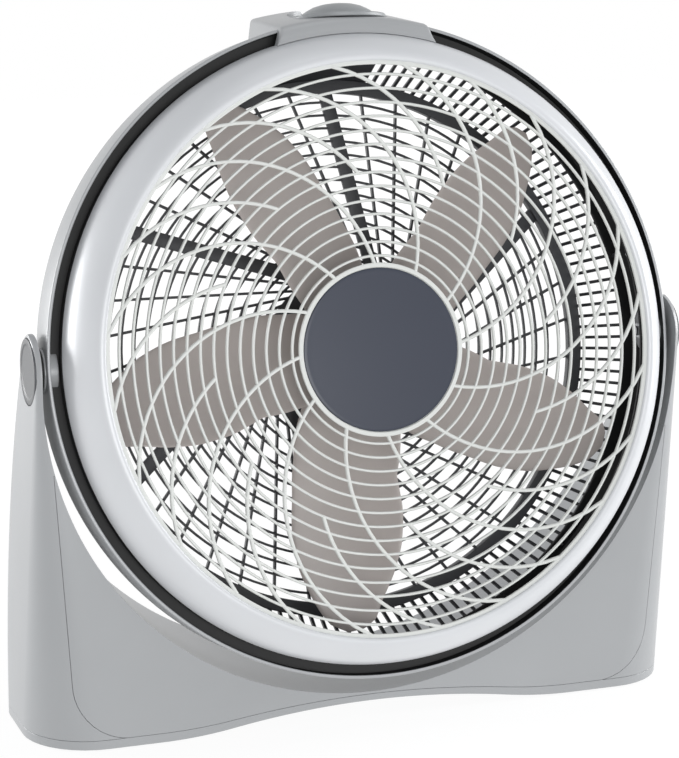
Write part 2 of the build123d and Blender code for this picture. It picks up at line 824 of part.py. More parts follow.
def stator_core():
    """Laminated ring with four poles round the rotor."""
    ring = RegularPolygon(motor_radius, motor_sides) - RegularPolygon(core_bore, motor_sides)
    core = ahead(ring, core_back, core_front)
    reach = core_bore - rotor_radius
    pole = Box(reach + 2 * lap, core_front - core_back, pole_width)
    core += four(Pos(rotor_radius + reach / 2, -(core_back + core_front) / 2, 0) * pole)
    core -= disc(rotor_radius + air_gap, core_back, core_front)
    return core - motor_screw_rods(screw_radius + screw_play, core_back, core_front)


def motor_windings():
    """Four coils, one round each pole, standing out of the core at both ends."""
    place = Pos((coil_inner + coil_outer) / 2, -(core_back + core_front) / 2, 0)
    width = pole_width + 2 * coil_play
    length = core_front - core_back + 2 * coil_play
    coil = Box(coil_outer - coil_inner, length + 2 * (coil_end - coil_play), width + 2 * coil_side)
    coil -= Box(coil_outer, length, width)
    return Part() + four(place * coil)


def rotor_core():
    ring = RegularPolygon(rotor_radius, motor_sides) - Circle(shaft_radius + shaft_play)
    return ahead(ring, core_back + rotor_end_gap, core_front - rotor_end_gap)


def motor_shaft():
    return disc(shaft_radius, motor_back_face + shaft_tail, shaft_front)


def motor_bearings():
    ring = RegularPolygon(bearing_radius, motor_sides) - Circle(shaft_radius + shaft_play)
    front = ahead(ring, core_front, core_front + bearing_width)
    return Part() + [front, ahead(ring, core_back - bearing_width, core_back)]


def motor_screws():
    """Four long screws through the rear grille, both bells and the core."""
    heads = motor_screw_rods(screw_head_radius, rear_face - screw_head_height, rear_face)
    return heads + motor_screw_rods(screw_radius, rear_face, core_front + coil_end)


def impeller_nut():
    nut = ahead(RegularPolygon(clamp_nut_size, 6), shaft_front - clamp_nut_height, shaft_front)
    return nut - disc(shaft_radius + shaft_play, 0, shaft_front)


# ---------------------------------------------------------------- crown
def crown_screw_places():
    return [(-crown_screw_x, crown_screw_y), (crown_screw_x, crown_screw_y)]


def crown_front_view():
    """Loaf-shaped front view: a low crowned top with rounded ends."""
    side_top = crown_top - crown_fall
    top = ThreePointArc((-crown_half_width, side_top), (0, crown_top), (crown_half_width, side_top))
    sides = Polyline(
        (crown_half_width, side_top),
        (crown_half_width, crown_floor),
        (-crown_half_width, crown_floor),
        (-crown_half_width, side_top),
    )
    face = make_face(top + sides)
    return fillet(face.vertices().group_by(Axis.Y)[-1], crown_corner)


def crown_housing():
    """Low housing on the drum's top. Its rear end overhangs the drum and forms the carrying grip."""
    loaf = ahead(crown_front_view(), -crown_back, crown_front)
    loaf -= disc(drum_radius, -drum_band_back, drum_front + crown_lip_gap)
    loaf -= disc(ring_outer + lap, -crown_back, crown_front)
    loaf -= turned(
        (0, -drum_band_back),
        (drum_radius, -drum_band_back),
        (flange_outer + crown_lip_gap, -drum_back),
        (flange_outer + crown_lip_gap, -grip_front),
        (0, -grip_front),
    )
    roof = crown_top - grip_roof
    grip = Pos(0, (roof + box_bottom) / 2) * Rectangle(2 * grip_half_width, roof - box_bottom)
    loaf -= ahead(grip, -crown_back, -grip_front)
    tips = crown_screw_seat + crown_screw_length
    loaf -= upright(crown_screw_places(), screw_radius + screw_play, crown_floor, tips, screw_sides)
    return loaf - stem_hole()


def crown_screws():
    """Two screws from inside the drum, up into the crown."""
    seat = crown_screw_seat
    heads = upright(crown_screw_places(), screw_head_radius, seat - screw_head_height, seat, screw_sides)
    return heads + upright(crown_screw_places(), screw_radius, seat, seat + crown_screw_length, screw_sides)


def switch_box():
    """Dark tray under the drum's top, open upwards and to the rear."""
    view = Pos(0, (box_bottom + drum_radius) / 2) * Rectangle(2 * box_half_width, drum_radius - box_bottom)
    tray = ahead(view & Circle(drum_inner), -drum_straight_back, box_front)
    tray += ahead(view & Circle(flange_outer - seam_gap), -box_back, -drum_straight_back)
    hollow = Pos(0, (box_floor + drum_radius) / 2) * Rectangle(
        2 * (box_half_width - box_wall), drum_radius - box_floor)
    return tray - ahead(hollow, -box_back, box_front - box_wall)


def stem_hole():
    """Free passage for the knob's stem through drum and crown."""
    return upright([(0, knob_back)], stem_radius + stem_hole_play, box_bottom, crown_top, post_sides)


def rotary_switch():
    body = Pos(0, knob_back, box_floor + switch_height / 2) * Box(switch_width, switch_depth, switch_height)
    top = box_floor + switch_height
    return body - upright([(0, knob_back)], stem_radius + stem_play, top - stem_in_switch, top)


def capacitor():
    x = -switch_width / 2 - capacitor_gap - capacitor_length / 2
    case = Box(capacitor_length, capacitor_width, capacitor_height)
    return Pos(x, knob_back, box_floor + capacitor_height / 2) * case


def switch_shaft():
    low = box_floor + switch_height - stem_in_switch
    return upright([(0, knob_back)], stem_radius, low, knob_seat + stem_in_knob)


def speed_knob():
    """Low round knob: a broad disc with a shallow dome in the middle."""
    rim = knob_seat + knob_disc_height
    top = knob_seat + knob_height
    plate = extrude(RegularPolygon(knob_radius, round_sides), knob_disc_height)
    knob = Pos(0, knob_back, knob_seat) * plate
    knob = chamfer(knob.faces().sort_by(Axis.Z)[-1].edges(), knob_edge)
    dome = Pos(0, knob_back, rim) * extrude(RegularPolygon(knob_dome_radius, round_sides // 2), top - rim)
    knob += chamfer(dome.faces().sort_by(Axis.Z)[-1].edges(), knob_dome_edge)
    return knob - upright([(0, knob_back)], stem_radius + stem_play, knob_seat, knob_seat + stem_in_knob)


# ---------------------------------------------------------------- pieces, one file each
def both(maker):
    return Part() + [maker(-1), maker(1)]


base_pieces = {
    "base_shell": base_shell,
    "front_fascia": front_fascia,
    "bottom_cover": bottom_cover,
    "rubber_feet": rubber_feet,
    "base_screws": base_screws,
    "pivot_bolts": lambda: both(pivot_bolt),
    "pivot_nuts": lambda: both(pivot_nut),
    "friction_washers": lambda: both(friction_washer),
    "pivot_caps": lambda: both(pivot_cap),
}

drum_pieces = {
    "drum_shell": drum_shell,
    "front_ring": front_ring,
    "front_guard": front_guard,
    "badge_disc": badge_disc,
    "ring_screws": ring_screws,
    "rear_grille": rear_grille,
    "rear_screws": rear_screws,
    "motor_front_bell": motor_front_bell,
    "motor_rear_bell": motor_rear_bell,
    "stator_core": stator_core,
    "motor_windings": motor_windings,
    "motor_bearings": motor_bearings,
    "motor_screws": motor_screws,
    "rotor_core": rotor_core,
    "motor_shaft": motor_shaft,
    "impeller": impeller,
    "impeller_nut": impeller_nut,
    "crown_housing": crown_housing,
    "crown_screws": crown_screws,
    "switch_box": switch_box,
    "rotary_switch": rotary_switch,
    "capacitor": capacitor,
    "switch_shaft": switch_shaft,
    "speed_knob": speed_knob,
}

os.makedirs("parts", exist_ok=True)
for name, maker in base_pieces.items():
    export_step(maker(), f"parts/{name}.step")
for name, maker in drum_pieces.items():
    export_step(leaned(maker()), f"parts/{name}.step")
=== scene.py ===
import bpy
import bmesh
from math import asin, atan2, cos, pi, radians, sin, sqrt
from mathutils import Euler, Matrix, Vector


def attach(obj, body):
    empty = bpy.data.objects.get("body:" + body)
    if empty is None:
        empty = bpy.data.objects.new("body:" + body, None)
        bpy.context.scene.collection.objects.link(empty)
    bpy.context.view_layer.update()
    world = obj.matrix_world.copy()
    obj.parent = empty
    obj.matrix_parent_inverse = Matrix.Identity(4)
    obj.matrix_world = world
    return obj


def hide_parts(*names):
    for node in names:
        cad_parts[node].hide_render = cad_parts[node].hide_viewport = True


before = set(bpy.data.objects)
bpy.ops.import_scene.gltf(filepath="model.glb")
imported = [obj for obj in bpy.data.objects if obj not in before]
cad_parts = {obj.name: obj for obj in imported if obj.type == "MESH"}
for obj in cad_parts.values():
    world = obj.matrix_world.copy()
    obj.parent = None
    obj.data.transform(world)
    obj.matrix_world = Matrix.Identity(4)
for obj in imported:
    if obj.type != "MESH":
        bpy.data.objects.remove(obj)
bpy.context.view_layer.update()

bl_info = {
    "name": "Air circulator fan",
    "version": (1, 0, 0),
    "blender": (4, 5, 0),
    "location": "3D View > Sidebar > Air circulator",
    "description": "Dresses a tilting floor fan: guard, blades, grille, drum, base and studio",
    "category": "Object",
}

# ---------------------------------------------------------------- the fan's own layout, in mm
# The drum is drawn upright with the tilt axis through the origin: x right, y to the rear, z up.
# "Forward" is measured ahead of the tilt axis, towards -y.
PIVOT_HEIGHT = 306.5
REST_TILT = 9.75
MM = 0.001
HEAD = Matrix.Translation((0, 0, PIVOT_HEIGHT * MM)) @ Matrix.Rotation(radians(-REST_TILT), 4, "X")
BASE = Matrix.Translation((0, 0, PIVOT_HEIGHT * MM))


# ---------------------------------------------------------------- colours and nodes
def linear(hex_colour):
    """sRGB hex such as #A0A4A8 to the linear colour that a shader takes."""
    value = hex_colour.lstrip("#")
    parts = [int(value[i:i + 2], 16) / 255 for i in (0, 2, 4)]
    return tuple(p / 12.92 if p <= 0.04045 else ((p + 0.055) / 1.055) ** 2.4 for p in parts) + (1.0,)


def node(material, kind, settings=None, **links):
    """Add one shader node. settings holds its attributes and socket values, links its inputs."""
    tree = material.node_tree
    made = tree.nodes.new(kind)
    for key, value in (settings or {}).items():
        if hasattr(made, key) and key not in made.inputs:
            setattr(made, key, value)
        else:
            made.inputs[key].default_value = value
    for key, source in links.items():
        name = key.replace("_", " ")
        target = made.inputs[int(key[1:])] if key[0] == "i" and key[1:].isdigit() else made.inputs[name]
        tree.links.new(source, target)
    return made


def plain_material(name):
    material = bpy.data.materials.get(name) or bpy.data.materials.new(name)
    material.use_nodes = True
    material.node_tree.nodes.clear()
    return material


GRAIN_HEIGHT = 0.0001   # metres
ROUGH_BELOW, ROUGH_ABOVE = 0.05, 0.06
PER_METRE = 1000        # a size in mm to a noise scale, which counts features in a metre


def moulded(name, colour, roughness=0.45, ior=1.5, grain_mm=0.9, grain=0.1, drift=0.05, metallic=0.0,
            coat=0.0, flow_mm=90.0):
    """A moulded or cast surface: a colour that drifts a little along the flow, under a fine grain.

    A spark-eroded tool leaves a grain of about 0.2 mm. It is drawn at 0.9 mm, as coarse as it needs to show.
    """
    material = plain_material(name)
    place = node(material, "ShaderNodeTexCoord").outputs["Object"]
    flow = node(material, "ShaderNodeTexNoise", {"Scale": PER_METRE / flow_mm, "Detail": 3.0}, Vector=place)
    lo = tuple(c * (1 - drift) for c in linear(colour)[:3]) + (1.0,)
    hi = tuple(min(1.0, c * (1 + drift)) for c in linear(colour)[:3]) + (1.0,)
    tint = node(material, "ShaderNodeMix", {"data_type": "RGBA"})
    tint.inputs[6].default_value, tint.inputs[7].default_value = lo, hi
    material.node_tree.links.new(flow.outputs["Fac"], tint.inputs["Factor"])
    skin = node(material, "ShaderNodeTexNoise", {"Scale": PER_METRE / grain_mm, "Detail": 2.0}, Vector=place)
    rough = node(material, "ShaderNodeMapRange",
                 {"To Min": roughness - ROUGH_BELOW, "To Max": roughness + ROUGH_ABOVE},
                 Value=skin.outputs["Fac"])
    bump = node(material, "ShaderNodeBump", {"Strength": grain, "Distance": GRAIN_HEIGHT},
                Height=skin.outputs["Fac"])
    body = node(material, "ShaderNodeBsdfPrincipled",
                {"IOR": ior, "Metallic": metallic, "Coat Weight": coat, "Coat Roughness": 0.2},
                Base_Color=tint.outputs[2], Roughness=rough.outputs["Result"], Normal=bump.outputs["Normal"])
    node(material, "ShaderNodeOutputMaterial", None, Surface=body.outputs["BSDF"])
    return material


def dress(name, material):
    """Give a CAD node its finish."""
    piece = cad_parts[name]
    if not piece.material_slots:
        piece.data.materials.append(material)
    for slot in piece.material_slots:
        slot.material = material


# ---------------------------------------------------------------- mesh making
def finish_piece(name, bm, material, body, replaced=(), smooth=35, place=HEAD):
    """Turn a mesh in mm in its body's upright drawing into a piece that rides on the body."""
    bmesh.ops.remove_doubles(bm, verts=bm.verts, dist=0.001)
    bmesh.ops.recalc_face_normals(bm, faces=bm.faces)
    bmesh.ops.transform(bm, matrix=place @ Matrix.Scale(MM, 4), verts=bm.verts)
    mesh = bpy.data.meshes.new(name)
    bm.to_mesh(mesh)
    bm.free()
    piece = bpy.data.objects.new(name, mesh)
    bpy.context.scene.collection.objects.link(piece)
    mesh.materials.append(material)
    for face in mesh.polygons:
        face.use_smooth = True
    mesh.set_sharp_from_angle(angle=radians(smooth))
    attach(piece, body)
    if replaced:
        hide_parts(*replaced)
    return piece


def second_finish(piece, material, chosen):
    """A second material for the faces that a test picks by radius and forward distance, in mm."""
    piece.data.materials.append(material)
    upright = HEAD.inverted()
    for face in piece.data.polygons:
        spot = upright @ face.center
        if chosen(sqrt(spot.x ** 2 + spot.z ** 2) / MM, -spot.y / MM):
            face.material_index = 1


def skin_between(bm, rings, closed=True, loop=False):
    """Faces between rings of vertices. closed joins each ring's ends, loop joins last ring to first."""
    pairs = list(zip(rings, rings[1:])) + ([(rings[-1], rings[0])] if loop else [])
    for one, two in pairs:
        count = len(one)
        for i in range(count if closed else count - 1):
            j = (i + 1) % count
            bm.faces.new((one[i], one[j], two[j], two[i]))


def close_ends(bm, rings):
    """Cap the first and last ring of a bar or block."""
    bm.faces.new(rings[0])
    bm.faces.new(list(reversed(rings[-1])))


def circle(steps):
    """Angles of equal steps round a full turn."""
    return [2 * pi * i / steps for i in range(steps)]


def turn_profile(bm, profile, steps=240, closed=True):
    """Revolve (radius, forward) corners round the drum's axis."""
    rings = [[bm.verts.new((r * cos(angle), -a, r * sin(angle))) for r, a in profile]
             for angle in circle(steps)]
    skin_between(bm, rings, closed=closed, loop=True)


def turn_sideways(bm, side, profile, steps, closed=True):
    """Revolve (radius, distance out) corners round the tilt axis, on the right (1) or left (-1) side."""
    rings = [[bm.verts.new((side * x, r * cos(a), r * sin(a))) for r, x in profile] for a in circle(steps)]
    skin_between(bm, rings, closed=closed, loop=True)


NEARLY_STRAIGHT = 0.05  # radians
SHARPEST = 0.05         # the least tangent of half a corner's angle
SIDE_SHARE = 0.45       # the most of a side that one rounded corner takes


def soften(corners, radius, steps=4):
    """Round the corners of a closed outline by a radius, or less where its sides are short."""
    made = []
    count = len(corners)
    for i in range(count):
        before, here, after = (Vector(corners[(i + k) % count][:2]) for k in (-1, 0, 1))
        own = corners[i][2] if len(corners[i]) > 2 else radius
        back, ahead = before - here, after - here
        turn = back.angle(ahead, pi)
        if own <= 0 or turn > pi - NEARLY_STRAIGHT:
            made.append(tuple(here))
            continue
        reach = min(own / max(SHARPEST, (sin(turn / 2) / cos(turn / 2))), back.length * SIDE_SHARE,
                    ahead.length * SIDE_SHARE)
        start, end = here + back.normalized() * reach, here + ahead.normalized() * reach
        for k in range(steps + 1):
            t = k / steps
            made.append(tuple(start * (1 - t) ** 2 + here * 2 * t * (1 - t) + end * t ** 2))
    return made


def prism(outline, low, high):
    """A solid with straight sides: an outline of (x, z) points between two values of y."""
    bm = bmesh.new()
    rings = [[bm.verts.new((x, level, z)) for x, z in outline] for level in (low, high)]
    skin_between(bm, rings)
    close_ends(bm, rings)
    bmesh.ops.recalc_face_normals(bm, faces=bm.faces)
    return bm


def temporary(bm):
    """An object that lasts only as long as a cut."""
    mesh = bpy.data.meshes.new("cutter")
    bm.to_mesh(mesh)
    bm.free()
    body = bpy.data.objects.new("cutter", mesh)
    bpy.context.scene.collection.objects.link(body)
    return body


def carve(bm, *steps):
    """Cut a solid by others: each step is ("DIFFERENCE", other) or ("INTERSECT", other)."""
    body = temporary(bm)
    helpers = []
    for operation, other in steps:
        helper = temporary(other)
        helpers.append(helper)
        modifier = body.modifiers.new(operation, "BOOLEAN")
        modifier.operation, modifier.object, modifier.solver = operation, helper, "EXACT"
    made = bmesh.new()
    made.from_object(body, bpy.context.evaluated_depsgraph_get())
    for gone in [body] + helpers:
        mesh = gone.data
        bpy.data.objects.remove(gone)
        bpy.data.meshes.remove(mesh)
    return made


def arc(centre, radius, start, end, steps):
    """Points on an arc, angles in degrees."""
    angles = [radians(start + (end - start) * i / steps) for i in range(steps + 1)]
    return [(centre[0] + radius * cos(a), centre[1] + radius * sin(a)) for a in angles]


def round_edges(piece, width_mm, steps=2, angle=32):
    """Small radius on every sharp edge, as a moulding tool leaves it."""
    bevel = piece.modifiers.new("edges", "BEVEL")
    bevel.width, bevel.segments, bevel.limit_method = width_mm * MM, steps, "ANGLE"
    bevel.angle_limit, bevel.harden_normals = radians(angle), True
    bevel.miter_outer = "MITER_ARC"


def oval(width, depth, count=8, power=0.75):
    """Rounded bar section: width across, depth front to back."""
    points = []
    for i in range(count):
        angle = 2 * pi * (i + 0.5) / count
        c, s = cos(angle), sin(angle)
        points.append((width / 2 * abs(c) ** power * (1 if c > 0 else -1),
                       depth / 2 * abs(s) ** power * (1 if s > 0 else -1)))
    return points


# ---------------------------------------------------------------- sizes and colours that a user may change
class AirCirculatorGuard(bpy.types.PropertyGroup):
    wire_count: bpy.props.IntProperty(
        name="Wires", description="Round wires in the front guard", default=14, min=4)
    wire_first: bpy.props.FloatProperty(
        name="First wire", description="Radius of the innermost wire, mm", default=75.0)
    wire_pitch: bpy.props.FloatProperty(
        name="Wire pitch", description="Distance between wires, mm", default=11.0)
    wire_width: bpy.props.FloatProperty(
        name="Wire width", description="Width of a wire, mm", default=2.3)
    rib_width: bpy.props.FloatProperty(
        name="Rib width", description="Width of a curved rib, mm", default=3.0)
    rib_curve: bpy.props.FloatProperty(
        name="Rib radius", description="Radius of the ribs' arcs, mm", default=122.0)
    colour: bpy.props.StringProperty(
        name="Guard colour", description="sRGB hex", default="#D2D4D1")


class AirCirculatorShell(bpy.types.PropertyGroup):
    shell_colour: bpy.props.StringProperty(
        name="Shell colour", description="sRGB hex", default="#A0A2A4")
    ring_colour: bpy.props.StringProperty(
        name="Ring colour", description="sRGB hex", default="#CDCFD2")
    badge_colour: bpy.props.StringProperty(
        name="Badge colour", description="sRGB hex", default="#172033")
    cap_colour: bpy.props.StringProperty(
        name="Cap colour", description="sRGB hex", default="#47494C")
    knob_colour: bpy.props.StringProperty(
        name="Knob colour", description="sRGB hex", default="#909395")


class AirCirculatorRotor(bpy.types.PropertyGroup):
    blade_colour: bpy.props.StringProperty(
        name="Blade colour", description="sRGB hex", default="#B3ABA7")
    grille_colour: bpy.props.StringProperty(
        name="Rear grille colour", description="sRGB hex", default="#3A3B3E")
    grille_pitch: bpy.props.FloatProperty(
        name="Rear bar pitch", description="Gap of the outer bars, mm", default=9.6)
    ring_pitch: bpy.props.FloatProperty(
        name="Rear ring pitch", description="Gap of the rear rings, mm", default=10.8)
    grille_wire: bpy.props.FloatProperty(
        name="Rear ring width", description="Width of a rear ring, mm", default=2.2)
    rib_width: bpy.props.FloatProperty(
        name="Rear rib width", description="Width of a thin rear rib, mm", default=2.4)


# ---------------------------------------------------------------- front guard
MIDDLE_RADIUS, MIDDLE_FORWARD, DISH = 69.5, 47.4, 0.085


def guard_front(radius):
    """How far ahead the guard's front lies: it dishes out from the middle plate to the rim."""
    return MIDDLE_FORWARD + DISH * (radius - MIDDLE_RADIUS)


class AIR_OT_front_guard(bpy.types.Operator):
    """Dished front guard of fine round wires and ribs that sweep out from the badge"""
    bl_idname = "air.front_guard"
    bl_label = "Front guard"

    WIRE_DEPTH, WIRE_SINK = 3.0, 1.6
    RIB_DEPTH, RIB_SINK, RIB_COUNT = 3.4, 1.7, 24
    LONG_RIB_START, RIB_END, SHORT_RIB_WIRE = 66.0, 226.5, 6
    LONG_STEPS, SHORT_STEPS = 26, 16
    RIM_INNER, RIM_OUTER, RIM_PLACE = 225.4, 231, 223.5

    def execute(self, context):
        sizes = context.scene.air_guard
        # Light grey polypropylene, moulded in one: soft sheen, edges rounded by the tool.
        material = moulded("guard_polypropylene", sizes.colour, roughness=0.42, ior=1.49, grain=0.05)
        bm = bmesh.new()
        section = oval(sizes.wire_width, self.WIRE_DEPTH)
        for i in range(sizes.wire_count):
            radius = sizes.wire_first + i * sizes.wire_pitch
            level = guard_front(radius) - self.WIRE_SINK
            turn_profile(bm, [(radius + x, level + y) for x, y in section], steps=180)
        self.ribs(bm, sizes)
        self.middle_and_rim(bm)
        piece = finish_piece("front_guard_detail", bm, material, "head", ["front_guard"], smooth=50)
        return {"FINISHED"}

    def ribs(self, bm, sizes):
        """Arcs from the middle plate to the rim. Every other one starts part of the way out."""
        section = oval(sizes.rib_width, self.RIB_DEPTH)
        short_start = sizes.wire_first + self.SHORT_RIB_WIRE * sizes.wire_pitch
        for k in range(self.RIB_COUNT):
            inner, steps = short_start, self.SHORT_STEPS
            if k % 2:
                inner, steps = self.LONG_RIB_START, self.LONG_STEPS
            rings = []
            for i in range(steps + 1):
                radius = inner + (self.RIB_END - inner) * i / steps
                turn = radians(360 // self.RIB_COUNT * k) + asin(radius / (2 * sizes.rib_curve))
                slant = turn + asin(radius / (2 * sizes.rib_curve))
                across = Vector((-sin(slant), 0, cos(slant)))
                level = -guard_front(radius) + self.RIB_SINK
                middle = Vector((radius * cos(turn), level, radius * sin(turn)))
                rings.append([bm.verts.new(middle + across * x + Vector((0, -y, 0))) for x, y in section])
            skin_between(bm, rings)
            close_ends(bm, rings)

    def middle_and_rim(self, bm):
        """The plate behind the badge, and the flat band that the ring's lip holds."""
        plate = soften([(0, 42.9, 0), (66.5, 42.9, 1), (69.5, 44.4, 1.5), (69.5, 47.4, 0.9),
                        (65.9, 47.4, 0.5), (65.9, 45.9, 0), (0, 45.9, 0)], 0.8)
        turn_profile(bm, plate, steps=180, closed=False)
        front = guard_front(self.RIM_PLACE)
        rim = soften([(self.RIM_INNER, front - 3), (self.RIM_OUTER, front - 2.6),
                      (self.RIM_OUTER, front - 0.4), (self.RIM_INNER, front)], 0.9)
        turn_profile(bm, rim, steps=240)


class AIR_OT_badge(bpy.types.Operator):
    """Bare domed badge in the middle of the guard"""
    bl_idname = "air.badge"
    bl_label = "Badge"

    RADIUS, CROWN, FALL, SEAT = 65.4, 47.9, 0.9, 45.95

    def execute(self, context):
        # Slate-blue ABS with a clear lacquer: deep colour, soft wide highlight.
        material = moulded("badge_lacquered_abs", context.scene.air_shell.badge_colour, roughness=0.42,
                           ior=1.53, grain=0.02, coat=0.2)
        bm = bmesh.new()
        steps = 20
        dome = [(self.RADIUS * i / steps, self.CROWN - self.FALL * (i / steps) ** 2) for i in range(steps)]
        profile = dome + [(64.2, 47.1), (65.1, 46.8), (self.RADIUS, 46.3), (self.RADIUS, self.SEAT),
                          (0, self.SEAT)]
        turn_profile(bm, profile, steps=160, closed=False)
        piece = finish_piece("badge_dome", bm, material, "head", ["badge_disc"], smooth=40)
        return {"FINISHED"}


# ---------------------------------------------------------------- drum
class AIR_OT_drum(bpy.types.Operator):
    """Drum shell and the wide convex ring round the guard"""
    bl_idname = "air.drum"
    bl_label = "Drum and ring"

    DUCT_RADIUS, LIP_START = 263.9, 23.1    # inside this radius and behind this lip the drum is painted near-black as shade
    SKIRT_END = 23.0                        # behind this the ring's skirt stands in the groove and is painted near-black as shade
    BOSS = ((4.1, 255.9), (18, 255.9), (18, 267.2), (4.1, 267.2))
    RING_BACK, RING_WALL = 12.75, 2.8
    RING_START, RING_CREST, RING_BULGE, RING_STEPS = (254.4, 24.0), (235.0, 61.6), 4.0, 12
    LIP = ((232.6, 62.6), (230.4, 62.7), (229.0, 62.0), (228.5, 61.0), (228.5, 60.0))

    def execute(self, context):
        colours = context.scene.air_shell
        # Silver-grey ABS, mass coloured with fine aluminium flake: satin, a shade warmer in shadow.
        shell = moulded("shell_silver_abs", colours.shell_colour, roughness=0.33, ior=1.53, metallic=0.15)
        # Lighter ring in the same plastic, polished tool: smoother and brighter.
        ring = moulded("ring_silver_abs", colours.ring_colour, roughness=0.34, ior=1.53, grain=0.04,
                       metallic=0.1)
        # Painted shade: near-black on the drum's inner faces and the ring's skirt, in place of the shade
        # inside the drum and the groove, where almost no light comes back out.
        black = moulded("groove_painted_shade_black", "#101112", roughness=0.55, ior=1.49)
        bm = bmesh.new()
        band = soften([
            (266, 23.5, 1.2), (266, -14, 2.0), (256, -24, 1.0), (246, -24, 0.6), (246, -21.3, 0.6),
            (256, -21.3, 1.0), (263.3, -12.65, 1.5), (263.3, 10, 0.8), (247, 10, 0.6), (247, 12.7, 0.6),
            (263.3, 12.7, 0.8), (263.3, 23.5, 0.8)], 1.0)
        turn_profile(bm, band, steps=300)
        piece = finish_piece("drum_band", bm, shell, "head", ["drum_shell"], smooth=40)
        # Painted shade: the drum's inner faces behind the lip get the near-black shade colour.
        second_finish(piece, black,
                      lambda radius, ahead: radius < self.DUCT_RADIUS and ahead < self.LIP_START)
        self.bosses(shell)
        bm = bmesh.new()
        turn_profile(bm, self.ring_profile(), steps=300)
        piece = finish_piece("ring_band", bm, ring, "head", ["front_ring"], smooth=40)
        # Painted shade: the ring's skirt down in the groove gets the near-black shade colour.
        second_finish(piece, black, lambda radius, ahead: ahead < self.SKIRT_END)
        return {"FINISHED"}

    def bosses(self, shell):
        """Round bosses on the drum that the pivot bolts pass through."""
        bm = bmesh.new()
        for side in (-1, 1):
            turn_sideways(bm, side, soften(self.BOSS, 0.8), 48)
        finish_piece("pivot_bosses", bm, shell, "head", smooth=40)

    def ring_profile(self):
        """Convex band: up from the groove, over the crest and down to the lip that holds the guard."""
        outer, inner = [], []
        start, end, bulge = Vector(self.RING_START), Vector(self.RING_CREST), self.RING_BULGE
        chord = end - start
        away = Vector((chord.y, -chord.x)).normalized()
        radius = (chord.length / 2) ** 2 / (2 * bulge) + bulge / 2
        centre = start + chord / 2 + away * (bulge - radius)
        a0 = atan2(start.y - centre.y, start.x - centre.x)
        a1 = atan2(end.y - centre.y, end.x - centre.x)
        inside = radius - self.RING_WALL
        for i in range(self.RING_STEPS + 1):
            a = a0 + (a1 - a0) * i / self.RING_STEPS
            outer.append((centre.x + radius * cos(a), centre.y + radius * sin(a)))
            inner.append((centre.x + inside * cos(a), centre.y + inside * sin(a)))
        skirt = [(251.6, 24.0), (251.6, self.RING_BACK)]
        return [(254.4, self.RING_BACK)] + outer + list(self.LIP) + list(reversed(inner)) + skirt


